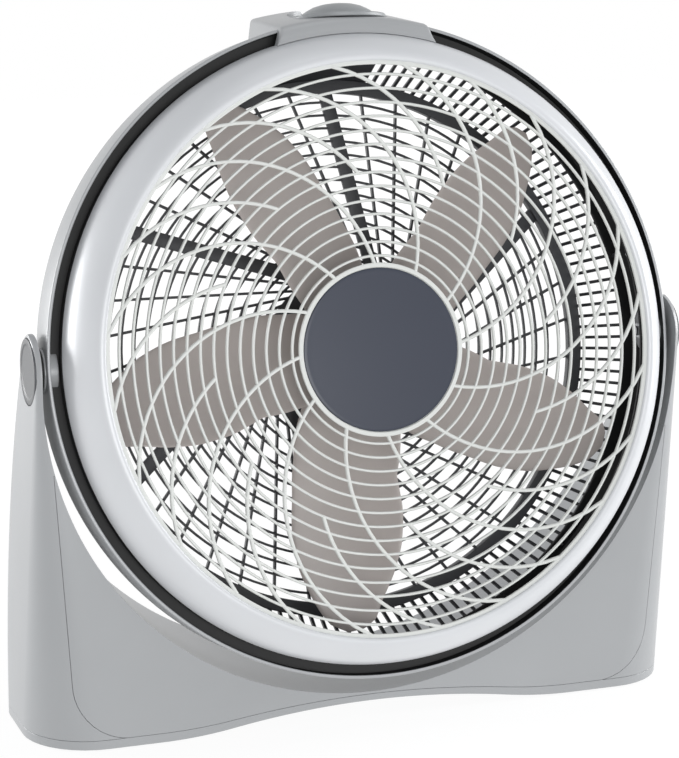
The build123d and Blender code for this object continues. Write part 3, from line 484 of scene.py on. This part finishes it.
# ---------------------------------------------------------------- crown and knob
class AIR_OT_crown(bpy.types.Operator):
    """Crown on top of the drum, its carrying hollow at the back, and the speed knob let into its top"""
    bl_idname = "air.crown"
    bl_label = "Crown and knob"

    # The top as (forward, radius from the tilt axis): soft front edge, long slope up to the rear edge.
    TOP = ((32.5, 257.5), (32.1, 261.0), (30.6, 264.0), (28.0, 266.2), (24.0, 267.6), (-46.0, 281.8),
           (-48.6, 281.6), (-49.7, 280.4), (-50.0, 278.8))
    TOP_HALF, FOOT_HALF, FOOT_RADIUS = 62.5, 67.5, 253.4
    END_ROUNDING = 9.0
    KNOB_BACK, KNOB_RADIUS = 13.0, 39.9
    KNOB = ((0.01, 268.0), (39.2, 268.0), (39.9, 268.6), (39.9, 270.7), (39.2, 271.6), (31.4, 272.2),
            (29.8, 273.0), (28.2, 274.8), (25.0, 276.8), (20.0, 279.3), (14.0, 281.0), (7.0, 282.0),
            (0.01, 282.3))
    KNOB_GAP, POCKET_FLOOR, POCKET_MIDDLE, ABOVE = 0.8, 267.0, 4.0, 320
    GRIP_HALF, GRIP_ROOF, GRIP_FRONT, GRIP_BACK = 52, 269, 27.5, 60

    def execute(self, context):
        shell = bpy.data.materials["shell_silver_abs"]
        made = finish_piece("crown_shell", self.crown(), shell, "head", ["crown_housing"], smooth=32)
        round_edges(made, 0.7)
        # Mid-grey ABS knob, fine grained and a touch darker than the shell.
        grey = moulded("knob_grey_abs", context.scene.air_shell.knob_colour, roughness=0.42, ior=1.53,
                       metallic=0.1)
        bm = bmesh.new()
        self.turn_upright(bm, self.KNOB, 96)
        knob = finish_piece("knob_dome", bm, grey, "knob", ["speed_knob"], smooth=30)
        return {"FINISHED"}

    def turn_upright(self, bm, profile, steps):
        """Revolve (radius, height) corners round the knob's axis."""
        rings = [[bm.verts.new((r * cos(a), self.KNOB_BACK + r * sin(a), z)) for r, z in profile]
                 for a in circle(steps)]
        skin_between(bm, rings, closed=True, loop=True)

    def section(self, ahead, radius):
        """Front view of the crown at one place: leaning ends, rounded shoulders and a crowned top."""
        top = [(radius * sin(a), radius * cos(a)) for a in
               (asin(self.TOP_HALF / radius) * (2 * i / 24 - 1) for i in range(25))]
        foot = sqrt(self.FOOT_RADIUS ** 2 - self.FOOT_HALF ** 2)
        floor = [(self.FOOT_RADIUS * sin(a), self.FOOT_RADIUS * cos(a)) for a in
                 (asin(self.FOOT_HALF / self.FOOT_RADIUS) * (1 - 2 * i / 16) for i in range(1, 16))]
        rounding = min(self.END_ROUNDING, (radius - self.FOOT_RADIUS) * 0.8)
        shoulder = [(top[0][0], top[0][1], rounding)] + [(x, z, 0) for x, z in top[1:-1]]
        shoulder += [(top[-1][0], top[-1][1], rounding), (self.FOOT_HALF, foot, 0)]
        outline = soften(shoulder + [(x, z, 0) for x, z in floor] + [(-self.FOOT_HALF, foot, 0)], 0, steps=6)
        return [Vector((x, -ahead, z)) for x, z in outline]

    def crown(self):
        """The swept crown with the drum, the knob's pocket and the grip hollow cut out of it."""
        bm = bmesh.new()
        rings = [[bm.verts.new(point) for point in self.section(ahead, radius)] for ahead, radius in self.TOP]
        skin_between(bm, rings)
        close_ends(bm, rings)
        bmesh.ops.recalc_face_normals(bm, faces=bm.faces)
        drum = bmesh.new()
        turn_profile(drum, [(200, -60), (256.9, -60), (256.9, -20), (264.6, -12), (264.6, 23.9), (200, 23.9)])
        bmesh.ops.recalc_face_normals(drum, faces=drum.faces)
        pocket = bmesh.new()
        wall = self.KNOB_RADIUS + self.KNOB_GAP
        self.turn_upright(pocket, [(self.POCKET_MIDDLE, self.POCKET_FLOOR), (wall, self.POCKET_FLOOR),
                                   (wall, self.ABOVE), (self.POCKET_MIDDLE, self.ABOVE)], 96)
        bmesh.ops.recalc_face_normals(pocket, faces=pocket.faces)
        half, roof = self.GRIP_HALF, self.GRIP_ROOF
        grip = prism([(-half, 200), (half, 200), (half, roof), (-half, roof)],
                     self.GRIP_FRONT, self.GRIP_BACK)
        return carve(bm, ("DIFFERENCE", drum), ("DIFFERENCE", pocket), ("DIFFERENCE", grip))


# ---------------------------------------------------------------- rotor
class AIR_OT_impeller(bpy.types.Operator):
    """Five broad swept blades on a round hub"""
    bl_idname = "air.impeller"
    bl_label = "Impeller"

    # Each blade's edges as (share of the tip radius, degrees from the blade's own direction).
    LEADING = ((0.14, -56), (0.3, -37), (0.45, -25.5), (0.58, -19), (0.7, -15), (0.8, -11), (0.88, -7),
               (0.94, -4), (0.98, -1.5), (1.0, 2.0))
    TRAILING = ((0.14, 47), (0.3, 27), (0.45, 18), (0.58, 17), (0.7, 14.5), (0.8, 11.5), (0.88, 8.8),
                (0.95, 7.2), (0.985, 5), (1.0, 2.0))
    TIP, ROOT_SHARE, TIP_SHARE = 230.8, 0.155, 0.9995
    FIRST, COUNT = 45.5, 5
    HOLLOW, HALF_CHORD = 9.0, 65.0
    ROOT_RADIUS, ROOT_PITCH, TWIST = 19, 31.0, 12.0     # the pitch falls by the twist, in degrees, to the tip
    HALF_THICKNESS, SET_BACK = 1.1, 1.0

    def execute(self, context):
        # Warm grey ABS from a polished tool: broad soft highlights along the twist.
        material = moulded("blade_warm_abs", context.scene.air_rotor.blade_colour, roughness=0.36, ior=1.53,
                           grain=0.03)
        bm = bmesh.new()
        for k in range(self.COUNT):
            self.blade(bm, radians(self.FIRST + 360 // self.COUNT * k))
        hub = soften([(4.06, 19.0, 0), (8.1, 19.0, 0), (8.1, 26.0, 0.4), (30.0, 26.0, 3), (38.0, 21.0, 3),
                      (38.0, -14.0, 0.6), (35.0, -14.0, 0.6), (35.0, 17.0, 2), (9.0, 17.0, 1),
                      (9.0, -14.0, 0.5), (4.06, -14.0, 0)], 1.0)
        turn_profile(bm, hub, steps=96)
        piece = finish_piece("impeller_blades", bm, material, "rotor", ["impeller"], smooth=40)
        return {"FINISHED"}

    def edge(self, shape, share):
        """Angle of a blade's edge at a share of the tip radius."""
        for (low, start), (high, end) in zip(shape, shape[1:]):
            if share <= high:
                t = (share - low) / (high - low)
                return start + (end - start) * t
        return shape[-1][1]

    def forward(self, x, z):
        """How far ahead the blade's middle surface lies at a point of its front view."""
        out = (x - self.ROOT_RADIUS) / (self.TIP - self.ROOT_RADIUS)
        pitch = radians(self.ROOT_PITCH - self.TWIST * min(1.0, max(0.0, out)))
        chord = z / cos(pitch)
        for _ in range(3):
            hollow = self.HOLLOW * (chord / self.HALF_CHORD) ** 2
            chord = (z + hollow * sin(pitch)) / cos(pitch)
        hollow = self.HOLLOW * (chord / self.HALF_CHORD) ** 2 + self.HALF_THICKNESS
        return chord * sin(pitch) + hollow * cos(pitch) - self.SET_BACK

    def blade(self, bm, turn, rows=34, columns=16):
        """One blade: two skins that meet at the edges and the tip, turned to its place on the hub."""
        front, rear = [], []
        for i in range(rows + 1):
            share = self.ROOT_SHARE + (self.TIP_SHARE - self.ROOT_SHARE) * sin(pi / 2 * i / rows) ** 0.9
            radius = share * self.TIP
            start, end = self.edge(self.LEADING, share), self.edge(self.TRAILING, share)
            line = []
            for j in range(columns + 1):
                t = (1 - cos(pi * j / columns)) / 2
                angle = radians(start + (end - start) * t)
                x, z = radius * cos(angle), radius * sin(angle)
                thick = self.HALF_THICKNESS * (1 - abs(2 * t - 1) ** 10) ** 0.5 * (1 - share ** 40) ** 0.5
                place = (x * cos(turn) - z * sin(turn), x * sin(turn) + z * cos(turn))
                line.append((place[0], place[1], self.forward(x, z), thick))
            front.append([bm.verts.new((x, -a - t, z)) for x, z, a, t in line])
            rear.append([bm.verts.new((x, -a + t, z)) for x, z, a, t in line])
        skin_between(bm, front, closed=False)
        skin_between(bm, rear, closed=False)
        skin_between(bm, [front[0], rear[0]], closed=False)


# ---------------------------------------------------------------- rear grille
class AIR_OT_rear_grille(bpy.types.Operator):
    """Dark rear grille with its comb of slanting bars and swept ribs"""
    bl_idname = "air.rear_grille"
    bl_label = "Rear grille"

    RING_COUNT, RING_FIRST, RING_DEPTH, RING_FORWARD = 14, 66.1, 3.4, -63.9
    RIB_COUNT, STRUT_EVERY, STRUT_WIDTH, RIB_DEPTH = 42, 7, 12.0, 3.9
    RIB_ANGLE, RIB_OFFSET, RIB_BACK = 102.5, 50.0, 64.0
    RIB_START, RIB_END = 29.0, 208.8
    COMB_MIDDLE, COMB_HALF = 236, 1.3
    COMB = ((224.2, 65.4), (224.2, 60.4), (247.6, 25.0), (247.6, 28.0))
    PLATE_FROM, PLATE_TO, PLATE_STEPS = 80, 112, 20     # degrees, behind the switch

    def execute(self, context):
        sizes = context.scene.air_rotor
        # Near-black polypropylene, matt from the grained tool.
        material = moulded("grille_black_polypropylene", sizes.grille_colour, roughness=0.5, ior=1.49,
                           drift=0.1)
        bm = bmesh.new()
        section = oval(sizes.grille_wire, self.RING_DEPTH)
        for i in range(self.RING_COUNT):
            radius = self.RING_FIRST + sizes.ring_pitch * i
            turn_profile(bm, [(radius + x, self.RING_FORWARD + y) for x, y in section], steps=120)
        self.ribs(bm, sizes)
        self.comb(bm, sizes)
        plate = soften([(0, -66, 0), (60, -66), (60, -62), (0, -62, 0)], 1.0)
        turn_profile(bm, plate, steps=96, closed=False)
        turn_profile(bm, soften([(213.6, -66), (225, -66), (225, -58), (213.6, -58)], 0.8), steps=200)
        turn_profile(bm, soften([(247, -27), (255.5, -27), (255.5, -24.05), (247, -24.05)], 0.6), steps=240)
        piece = finish_piece("rear_grille_detail", bm, material, "head", ["rear_grille"], smooth=50)
        return {"FINISHED"}

    def ribs(self, bm, sizes):
        """Straight ribs and struts that run tangent to a circle round the motor."""
        for k in range(self.RIB_COUNT):
            along = radians(self.RIB_ANGLE + 360 * k / self.RIB_COUNT)
            width = sizes.rib_width if k % self.STRUT_EVERY else self.STRUT_WIDTH
            section = oval(width, self.RIB_DEPTH, power=0.5)
            ahead = Vector((cos(along), 0, sin(along)))
            across = Vector((-sin(along), 0, cos(along)))
            ends = []
            for reach in (self.RIB_START, self.RIB_END):
                middle = ahead * reach - across * self.RIB_OFFSET + Vector((0, self.RIB_BACK, 0))
                ends.append([bm.verts.new(middle + across * x + Vector((0, y, 0))) for x, y in section])
            skin_between(bm, ends)

    def comb(self, bm, sizes):
        """Slanting bars between the dark ring and the rim, closed by a plate behind the switch."""
        count = round(2 * pi * self.COMB_MIDDLE / sizes.grille_pitch)
        for k in range(count):
            angle = 2 * pi * (k + 0.5) / count
            out = Vector((cos(angle), 0, sin(angle)))
            across = Vector((-sin(angle), 0, cos(angle))) * self.COMB_HALF
            self.bar(bm, [[out * r + Vector((0, y, 0)) + side * across for r, y in self.COMB]
                          for side in (-1, 1)])
        first, last = radians(self.PLATE_FROM), radians(self.PLATE_TO)
        plate = []
        for k in range(self.PLATE_STEPS + 1):
            angle = first + (last - first) * k / self.PLATE_STEPS
            plate.append([Vector((r * cos(angle), y, r * sin(angle))) for r, y in self.COMB])
        self.bar(bm, plate)

    def bar(self, bm, sections):
        """A solid through several sections."""
        rings = [[bm.verts.new(point) for point in section] for section in sections]
        skin_between(bm, rings)
        close_ends(bm, rings)


# ---------------------------------------------------------------- base
class AIR_OT_base(bpy.types.Operator):
    """U-shaped base: shell with its flush front panel, bottom cover and pivot caps"""
    bl_idname = "air.base"
    bl_label = "Base"

    ARM_RADIUS, ARM_HALF, FOOT_HALF = 29.5, 276.5, 282.5
    BACK_FOOT, FLARE = 108.0, 2.2
    CRADLE, CRADLE_DROP = 271.5, 11.3
    FOOT_LIFT = 1.5
    CORNER, FRONT_CORNER, REAR_CORNER = 6, 52, 24       # corner radius at the pivots, and what it gains below
    COVER_TOP, SHELL_FOOT, SHELL_RISE, COVER_RISE = 9.0, 9.3, 12.5, 14.5
    ARCH_HALF, ARCH_TURN = 180.0, 120.0
    PANEL_TOP, PANEL_TOP_HALF, PANEL_FOOT_HALF, PANEL_CORNER = 228.5, 264.2, 249.5, 48.0
    PANEL_FRONT, PANEL_BACK, PANEL_GAP = -60, -20.0, 0.35
    CAP_SEAT_RADIUS, CAP_SEAT, BEYOND = 26.75, 272.5, 290
    CAP = ((0.01, 272.6, 0), (26.5, 272.6, 0.4), (26.5, 277.0, 1.2), (22.0, 277.0, 1.0), (20.5, 276.4, 1.0),
           (0.01, 276.4, 0))

    def execute(self, context):
        shell = bpy.data.materials["shell_silver_abs"]
        self.piece("base_body", self.shell(), shell, ["base_shell"], 1.0)
        self.piece("base_front_panel", self.panel(), shell, ["front_fascia"], 0.35)
        self.piece("base_cover", self.cover(), shell, ["bottom_cover"], 0.5)
        self.caps(context)
        return {"FINISHED"}

    def piece(self, name, bm, material, replaced, edge):
        made = finish_piece(name, bm, material, "base", replaced, smooth=30, place=BASE)
        round_edges(made, edge)

    def block(self, rows=30, turns=9):
        """The whole base as one swept block: plan sections from the floor to the arms' round tops."""
        bm = bmesh.new()
        rings = []
        floor = self.FOOT_LIFT - PIVOT_HEIGHT
        levels = [(floor * (1 - i / rows), None) for i in range(rows + 1)]
        levels += [(self.ARM_RADIUS * sin(radians(a)), self.ARM_RADIUS * cos(radians(a)))
                   for a in range(6, 90, 6)]
        for z, depth in levels:
            share = min(1.0, max(0.0, -z / PIVOT_HEIGHT))
            half = self.ARM_HALF + (self.FOOT_HALF - self.ARM_HALF) * share
            if z > 0:
                half = self.ARM_HALF - (self.FOOT_HALF - self.ARM_HALF) * z / PIVOT_HEIGHT
            front, rear = self.CORNER + self.FRONT_CORNER * share, self.CORNER + self.REAR_CORNER * share
            near = -self.ARM_RADIUS if depth is None else -depth
            back = self.ARM_RADIUS + (self.BACK_FOOT - self.ARM_RADIUS) * (1 - (1 - share) ** self.FLARE)
            far = back if depth is None else depth
            front, rear = min(front, (far - near) * SIDE_SHARE), min(rear, (far - near) * SIDE_SHARE)
            ring = arc((half - front, near + front), front, -90, 0, turns)
            ring += arc((half - rear, far - rear), rear, 0, 90, turns)
            ring += arc((rear - half, far - rear), rear, 90, 180, turns)
            ring += arc((front - half, near + front), front, 180, 270, turns)
            rings.append([bm.verts.new((x, y, z)) for x, y in ring])
        skin_between(bm, rings)
        close_ends(bm, rings)
        bmesh.ops.recalc_face_normals(bm, faces=bm.faces)
        return bm

    def cradle(self):
        """The round space for the drum, open above."""
        low = arc((0, -self.CRADLE_DROP), self.CRADLE, 180, 360, 160)
        return prism(low + [(self.CRADLE, 400), (-self.CRADLE, 400)], -200, 200)

    def under(self, level, rise):
        """Everything under an arched foot line: flat ends, hollow turns and a crowned middle."""
        half, turn = self.ARCH_HALF, self.ARCH_TURN
        height = rise * (half - turn) / half
        points = [(-400, level - 400), (400, level - 400), (400, level)]
        steps = 14
        side = [(half - (half - turn) * i / steps, height * (i / steps) ** 2) for i in range(steps + 1)]
        crown = [(turn * (1 - 2 * i / 24), height + (rise - height) * (1 - (1 - 2 * i / 24) ** 2))
                 for i in range(1, 24)]
        line = side + crown + [(-x, z) for x, z in reversed(side)]
        return prism(points + [(x, level + z) for x, z in line] + [(-400, level)], -300, 300)

    def front_region(self, gap):
        """Front view of the panel: straight sides that lean in, round lower corners."""
        top, foot = self.PANEL_TOP - PIVOT_HEIGHT, self.COVER_TOP - PIVOT_HEIGHT
        corners = [(-self.PANEL_TOP_HALF, top), (self.PANEL_TOP_HALF, top), (self.PANEL_FOOT_HALF, foot),
                   (-self.PANEL_FOOT_HALF, foot)]
        shape = [(x + gap * (1 if x > 0 else -1), z + gap * (1 if z > -100 else -1)) for x, z in corners]
        (left, right), (low_right, low_left) = shape[:2], shape[2:]
        radius = self.PANEL_CORNER + gap
        rounded = [left, right]
        rounded += self.corner(right, low_right, low_left, radius)
        rounded += self.corner(low_right, low_left, left, radius)
        return rounded

    def corner(self, before, here, after, radius, steps=12):
        """Arc that rounds a corner, tangent to both sides."""
        b, h, a = Vector(before), Vector(here), Vector(after)
        one, two = (b - h).normalized(), (a - h).normalized()
        half = one.angle(two) / 2
        slope = sin(half) / cos(half)
        start, end = h + one * radius / slope, h + two * radius / slope
        centre = h + (one + two).normalized() * radius / sin(half)
        made = []
        for i in range(steps + 1):
            way = (start - centre).lerp(end - centre, i / steps).normalized()
            made.append(tuple(centre + way * radius))
        return made

    def shell(self):
        return carve(self.block(), ("DIFFERENCE", self.cradle()),
                     ("DIFFERENCE", self.under(self.SHELL_FOOT - PIVOT_HEIGHT, self.SHELL_RISE)),
                     ("DIFFERENCE", prism(self.front_region(self.PANEL_GAP),
                                          self.PANEL_FRONT, self.PANEL_BACK)),
                     ("DIFFERENCE", self.cap_seats()))

    def panel(self):
        return carve(self.block(), ("DIFFERENCE", self.cradle()),
                     ("DIFFERENCE", self.under(self.SHELL_FOOT - PIVOT_HEIGHT, self.SHELL_RISE)),
                     ("INTERSECT", prism(self.front_region(0), self.PANEL_FRONT, self.PANEL_BACK)))

    def cover(self):
        return carve(self.block(), ("INTERSECT", self.under(self.COVER_TOP - PIVOT_HEIGHT, self.SHELL_RISE)),
                     ("DIFFERENCE", self.under(self.FOOT_LIFT - PIVOT_HEIGHT, self.COVER_RISE)))

    def cap_seats(self):
        """Round recesses for the pivot caps on both arms."""
        bm = bmesh.new()
        for side in (-1, 1):
            rings = [[bm.verts.new((side * x, self.CAP_SEAT_RADIUS * cos(a), self.CAP_SEAT_RADIUS * sin(a)))
                      for a in circle(72)] for x in (self.CAP_SEAT, self.BEYOND)]
            skin_between(bm, rings)
            close_ends(bm, rings)
        bmesh.ops.recalc_face_normals(bm, faces=bm.faces)
        return bm

    def caps(self, context):
        # Mid-grey ABS caps, a step darker than the shell, with a soft rolled edge.
        material = moulded("cap_grey_abs", context.scene.air_shell.cap_colour, roughness=0.45, ior=1.53)
        bm = bmesh.new()
        for side in (-1, 1):
            turn_sideways(bm, side, soften(self.CAP, 0.8), 96, closed=False)
        made = finish_piece("pivot_cap_faces", bm, material, "base", ["pivot_caps"], smooth=40, place=BASE)


# ---------------------------------------------------------------- finishes for the CAD nodes
class AIR_OT_finishes(bpy.types.Operator):
    """Finishes of the base, fasteners, motor and switch parts"""
    bl_idname = "air.finishes"
    bl_label = "Finishes"

    def execute(self, context):
        # Zinc-plated steel: bright, slightly blue, clean.
        zinc = moulded("screw_zinc_steel", "#C4C6C8", roughness=0.3, metallic=1.0, grain=0.05)
        for name in ("base_screws", "pivot_bolts", "pivot_nuts", "ring_screws", "rear_screws", "motor_screws",
                     "crown_screws", "motor_bearings", "motor_shaft", "impeller_nut"):
            dress(name, zinc)
        # Moulded rubber: soft, matt and nearly black.
        rubber = moulded("feet_moulded_rubber", "#232323", roughness=0.8, ior=1.52, grain=0.3)
        dress("rubber_feet", rubber)
        dress("friction_washers", rubber)
        # Die-cast alloy motor bells: dull grey with cloudy flow marks.
        alloy = moulded("bell_cast_alloy", "#9A9B9C", roughness=0.5, metallic=0.9, grain=0.3, drift=0.12,
                        flow_mm=15)
        dress("motor_front_bell", alloy)
        dress("motor_rear_bell", alloy)
        # Varnished lamination steel: dark, with a faint brown sheen.
        steel = moulded("core_lamination_steel", "#57534F", roughness=0.4, metallic=0.8, grain=0.2)
        dress("stator_core", steel)
        dress("rotor_core", steel)
        # Enamelled copper wire: orange-brown and glossy, seen as fine lines.
        dress("motor_windings", moulded("coil_enamelled_copper", "#B4663A", roughness=0.3, metallic=0.9,
                                        grain=0.6, grain_mm=1.2))
        # Black glass-filled nylon: flat and even, lost in the drum's shade.
        dark = moulded("switch_black_nylon", "#1E1F20", roughness=0.5, ior=1.53)
        for name in ("switch_box", "rotary_switch", "switch_shaft"):
            dress(name, dark)
        # Off-white polypropylene can: the one pale thing among the dark parts.
        dress("capacitor", moulded("capacitor_white_case", "#D8D6CC", roughness=0.4, ior=1.5))
        return {"FINISHED"}


# ---------------------------------------------------------------- studio
class AIR_OT_stage(bpy.types.Operator):
    """White studio: floor, soft lights, world and the camera at the photograph's angle"""
    bl_idname = "air.stage"
    bl_label = "Studio"

    FLOOR_HALF, PAPER_GREY, PAPER_GLOW = 6.0, 0.86, 1.06
    NEAR, FAR, NEAR_SHARE = 0.5, 1.8, 0.86      # metres from the fan, and the share of glow seen near it
    LIGHT_SHARE = 0.9                           # the share of glow that lights the fan
    SKY = 0.46
    LENS, SENSOR, ELEVATION, AZIMUTH = 112.36, 36.0, 11.54, -19.94

    def execute(self, context):
        self.floor()
        self.world()
        self.lamp("left_softbox", (-2.1, 1.75, 0.3), (0, 0, 0.12), 1.5, 64)
        self.lamp("right_softbox", (2.5, -0.3, 0.8), (0, 0, 0.3), 1.8, 46)
        self.lamp("front_softbox", (-0.3, -3.0, 0.2), (0, 0, 0.2), 2.0, 54)
        self.lamp("top_softbox", (0.0, 0.0, 2.8), (0, 0, 0.3), 1.6, 5)
        self.camera()
        context.scene.view_settings.view_transform = "Standard"
        return {"FINISHED"}

    def floor(self):
        bm = bmesh.new()
        bmesh.ops.create_grid(bm, x_segments=2, y_segments=2, size=self.FLOOR_HALF)
        mesh = bpy.data.meshes.new("studio_floor")
        bm.to_mesh(mesh)
        bm.free()
        floor = bpy.data.objects.new("studio_floor", mesh)
        bpy.context.scene.collection.objects.link(floor)
        material = plain_material("floor_white_paper")
        seen = self.seen_ray(material)
        paper = node(material, "ShaderNodeBsdfDiffuse", {"Color": (self.PAPER_GREY,) * 3 + (1,)})
        white = node(material, "ShaderNodeEmission", {"Color": (1, 1, 1, 1), "Strength": self.PAPER_GLOW})
        # The sheet is lit from below as on a light table: more of its own light further from the fan.
        place = node(material, "ShaderNodeTexCoord").outputs["Object"]
        reach = node(material, "ShaderNodeVectorMath", {"operation": "LENGTH"}, i0=place)
        spread = {"From Min": self.NEAR, "From Max": self.FAR, "To Min": self.NEAR_SHARE, "To Max": 1.0}
        far = node(material, "ShaderNodeMapRange", spread, Value=reach.outputs["Value"])
        glow = node(material, "ShaderNodeMix", {"data_type": "FLOAT"}, i0=seen, i3=far.outputs["Result"])
        glow.inputs[2].default_value = self.LIGHT_SHARE
        mix = node(material, "ShaderNodeMixShader", None, i0=glow.outputs[0], i1=paper.outputs[0],
                   i2=white.outputs[0])
        node(material, "ShaderNodeOutputMaterial", None, Surface=mix.outputs[0])
        mesh.materials.append(material)

    def seen_ray(self, owner):
        """1 for rays straight from the camera, in a mirror or through glass."""
        path = node(owner, "ShaderNodeLightPath")
        one = node(owner, "ShaderNodeMath", {"operation": "MAXIMUM"}, i0=path.outputs["Is Camera Ray"],
                   i1=path.outputs["Is Glossy Ray"])
        two = node(owner, "ShaderNodeMath", {"operation": "MAXIMUM"}, i0=one.outputs[0],
                   i1=path.outputs["Is Transmission Ray"])
        return two.outputs[0]

    def world(self):
        world = bpy.data.worlds.new("studio_world")
        bpy.context.scene.world = world
        world.use_nodes = True
        world.node_tree.nodes.clear()
        seen = self.seen_ray(world)
        light = node(world, "ShaderNodeBackground", {"Color": (0.95, 0.97, 1, 1), "Strength": self.SKY})
        white = node(world, "ShaderNodeBackground", {"Color": (1, 1, 1, 1), "Strength": 1.0})
        mix = node(world, "ShaderNodeMixShader", None, i0=seen, i1=light.outputs[0], i2=white.outputs[0])
        node(world, "ShaderNodeOutputWorld", None, Surface=mix.outputs[0])

    def lamp(self, name, place, aim, size, power):
        data = bpy.data.lights.new(name, "AREA")
        data.shape, data.size, data.energy = "DISK", size, power
        lamp = bpy.data.objects.new(name, data)
        lamp.location = place
        lamp.rotation_euler = (Vector(aim) - Vector(place)).to_track_quat("-Z", "Y").to_euler()
        bpy.context.scene.collection.objects.link(lamp)

    def camera(self):
        data = bpy.data.cameras.new("photo_camera")
        data.lens, data.sensor_width, data.clip_end = self.LENS, self.SENSOR, 50.0
        camera = bpy.data.objects.new("photo_camera", data)
        camera.location = (-0.6630, -1.7752, PIVOT_HEIGHT * MM + 0.3621)
        camera.rotation_euler = Euler((radians(90 - self.ELEVATION), 0, radians(self.AZIMUTH)))
        bpy.context.scene.collection.objects.link(camera)
        bpy.context.scene.camera = camera


class AIR_PT_panel(bpy.types.Panel):
    bl_label = "Air circulator"
    bl_idname = "AIR_PT_panel"
    bl_space_type = "VIEW_3D"
    bl_region_type = "UI"
    bl_category = "Air circulator"

    def draw(self, context):
        layout = self.layout
        for group in (context.scene.air_guard, context.scene.air_shell, context.scene.air_rotor):
            for name in group.__annotations__:
                layout.prop(group, name)
        for operator in OPERATORS:
            layout.operator(operator.bl_idname)


GROUPS = (("air_guard", AirCirculatorGuard), ("air_shell", AirCirculatorShell),
          ("air_rotor", AirCirculatorRotor))
OPERATORS = (AIR_OT_stage, AIR_OT_drum, AIR_OT_crown, AIR_OT_front_guard, AIR_OT_badge, AIR_OT_impeller,
             AIR_OT_rear_grille, AIR_OT_base, AIR_OT_finishes)


def register():
    for name, group in GROUPS:
        bpy.utils.register_class(group)
        setattr(bpy.types.Scene, name, bpy.props.PointerProperty(type=group))
    for operator in OPERATORS:
        bpy.utils.register_class(operator)
    bpy.utils.register_class(AIR_PT_panel)


def unregister():
    bpy.utils.unregister_class(AIR_PT_panel)
    for operator in reversed(OPERATORS):
        bpy.utils.unregister_class(operator)
    for name, group in reversed(GROUPS):
        delattr(bpy.types.Scene, name)
        bpy.utils.unregister_class(group)


def main():
    register()
    bpy.ops.air.stage()
    bpy.ops.air.drum()
    bpy.ops.air.crown()
    bpy.ops.air.front_guard()
    bpy.ops.air.badge()
    bpy.ops.air.impeller()
    bpy.ops.air.rear_grille()
    bpy.ops.air.base()
    bpy.ops.air.finishes()


if __name__ == "__main__":
    main()
